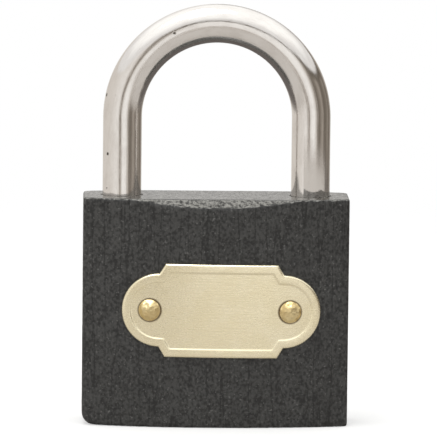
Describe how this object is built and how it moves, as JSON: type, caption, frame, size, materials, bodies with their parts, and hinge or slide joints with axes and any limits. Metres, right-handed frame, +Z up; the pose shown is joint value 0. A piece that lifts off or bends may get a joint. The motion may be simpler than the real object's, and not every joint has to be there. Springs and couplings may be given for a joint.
{
  "type": "padlock",
  "caption": "Small pin tumbler padlock: dark enamelled iron body, riveted plain brass nameplate, plated steel shackle that lifts, key plug in the underside that draws a sprung bolt.",
  "frame": {"origin": "middle of the body's underside, on the key plug's axis", "axes": "+Z up along the shackle's legs, -Y out of the front that carries the nameplate, +X towards the short toe leg"},
  "size_m": [0.05, 0.0193, 0.0791],
  "materials": {
    "enamelled_iron": "dark grey wrinkled enamel over cast iron, semi-gloss",
    "enamelled_steel": "steel pressed in flush and enamelled over with the body",
    "plated_steel": "bright plated bar, polished lengthwise",
    "plate_brass": "pale brushed brass sheet",
    "rivet_brass": "golden brass, hammered",
    "plug_brass": "turned brass",
    "bolt_brass": "plain machined brass",
    "bright_steel": "ground steel",
    "spring_steel": "drawn spring wire"
  },
  "bodies": {
    "case": {"body": "enamelled_iron", "shackle_pin": "enamelled_steel", "shackle_spring": "spring_steel", "bolt_spring": "spring_steel", "bolt_bore_plug": "enamelled_steel", "plug_retaining_pin": "enamelled_steel", "nameplate": "plate_brass", "rivet_left": "rivet_brass", "rivet_right": "rivet_brass", "pin_spring_1": "spring_steel", "pin_spring_2": "spring_steel", "pin_spring_3": "spring_steel", "pin_spring_4": "spring_steel", "chamber_plug_1": "enamelled_steel", "chamber_plug_2": "enamelled_steel", "chamber_plug_3": "enamelled_steel", "chamber_plug_4": "enamelled_steel"},
    "shackle_bar": {"shackle": "plated_steel"},
    "bolt": {"locking_bolt": "bolt_brass"},
    "plug": {"key_plug": "plug_brass", "cam_pin": "bright_steel"},
    "driver_1": {"driver_pin_1": "bright_steel"},
    "keyed_1": {"key_pin_1": "bolt_brass"},
    "driver_2": {"driver_pin_2": "bright_steel"},
    "keyed_2": {"key_pin_2": "bolt_brass"},
    "driver_3": {"driver_pin_3": "bright_steel"},
    "keyed_3": {"key_pin_3": "bolt_brass"},
    "driver_4": {"driver_pin_4": "bright_steel"},
    "keyed_4": {"key_pin_4": "bolt_brass"}
  },
  "joints": [
    {"name": "shackle_lift", "type": "slide", "parent": "case", "child": "shackle_bar", "axis": [0, 0, 1], "range_m": [0, 0.0135], "deforming": ["shackle_spring"]},
    {"name": "plug_turn", "type": "hinge", "parent": "case", "child": "plug", "pos_m": [0, 0, 0], "axis": [0, 0, 1], "range_deg": [0, 90]},
    {"name": "bolt_slide", "type": "slide", "parent": "case", "child": "bolt", "axis": [1, 0, 0], "range_m": [0, 0.00311], "deforming": ["bolt_spring"]},
    {"name": "driver_1_slide", "type": "slide", "parent": "case", "child": "driver_1", "axis": [1, 0, 0], "range_m": [0, 0.0016], "stiffness_N_per_m": 150, "springref_m": -0.003, "deforming": ["pin_spring_1"]},
    {"name": "key_pin_1_slide", "type": "slide", "parent": "plug", "child": "keyed_1", "axis": [0, 1, 0], "range_m": [0, 0.0027]},
    {"name": "driver_2_slide", "type": "slide", "parent": "case", "child": "driver_2", "axis": [1, 0, 0], "range_m": [0, 0.0016], "stiffness_N_per_m": 150, "springref_m": -0.003, "deforming": ["pin_spring_2"]},
    {"name": "key_pin_2_slide", "type": "slide", "parent": "plug", "child": "keyed_2", "axis": [0, 1, 0], "range_m": [0, 0.0015]},
    {"name": "driver_3_slide", "type": "slide", "parent": "case", "child": "driver_3", "axis": [1, 0, 0], "range_m": [0, 0.0016], "stiffness_N_per_m": 150, "springref_m": -0.003, "deforming": ["pin_spring_3"]},
    {"name": "key_pin_3_slide", "type": "slide", "parent": "plug", "child": "keyed_3", "axis": [0, 1, 0], "range_m": [0, 0.0033]},
    {"name": "driver_4_slide", "type": "slide", "parent": "case", "child": "driver_4", "axis": [1, 0, 0], "range_m": [0, 0.0016], "stiffness_N_per_m": 150, "springref_m": -0.003, "deforming": ["pin_spring_4"]},
    {"name": "key_pin_4_slide", "type": "slide", "parent": "plug", "child": "keyed_4", "axis": [0, 1, 0], "range_m": [0, 0.0021]}
  ],
  "couplings": [
    {"joint": "plug_turn", "follows": "bolt_slide", "rad_per_m": 504.87}
  ]
}
